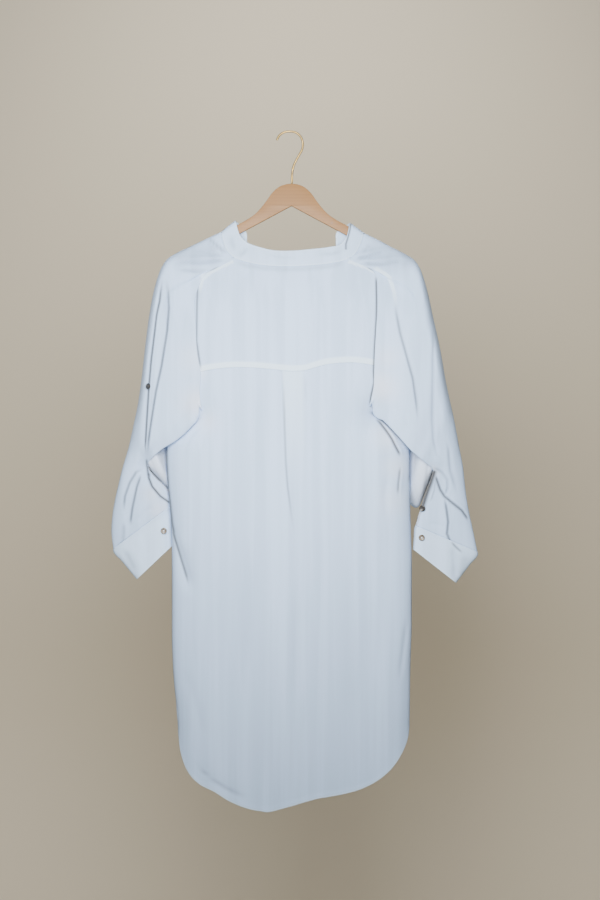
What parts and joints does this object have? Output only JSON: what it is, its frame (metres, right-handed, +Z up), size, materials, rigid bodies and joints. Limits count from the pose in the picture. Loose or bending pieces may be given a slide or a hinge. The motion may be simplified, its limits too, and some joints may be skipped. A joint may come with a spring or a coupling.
{
  "type": "high-low shirt on a wooden hanger",
  "caption": "Collarless high-low shirt with long sleeves, buttoned cuffs and a rounded back hem, hanging on a flat wooden hanger with a steel hook.",
  "frame": {"origin": "the seat inside the hook where the rail bears", "axes": "+Z up, -Y towards the viewer of the shirt's back, +X to that viewer's right"},
  "size_m": [0.6506, 0.0811, 1.1978],
  "materials": {
    "yoke_cloth": "matt crepe weave",
    "back_cloth": "matt crepe weave",
    "front_cloth": "matt crepe weave",
    "collar_cloth": "matt crepe weave",
    "sleeve_cloth_left": "matt crepe weave",
    "sleeve_cloth_right": "matt crepe weave",
    "cuff_cloth_left": "matt crepe weave",
    "cuff_cloth_right": "matt crepe weave",
    "cuff_button_left": "polished shell look",
    "cuff_button_right": "polished shell look",
    "tab_button_left": "satin",
    "tab_button_right": "satin",
    "birch": "clear satin lacquer",
    "hook_steel": "drawn wire"
  },
  "bodies": {
    "root": {"back_yoke": "yoke_cloth", "back_panel": "back_cloth", "front_panel": "front_cloth", "collar_band": "collar_cloth", "sleeve_left": "sleeve_cloth_left", "sleeve_right": "sleeve_cloth_right", "cuff_left": "cuff_cloth_left", "cuff_right": "cuff_cloth_right", "cuff_button_left": "cuff_button_left", "cuff_button_right": "cuff_button_right", "tab_button_left": "tab_button_left", "tab_button_right": "tab_button_right", "hanger_wood": "birch", "hanger_hook": "hook_steel"}
  },
  "joints": []
}
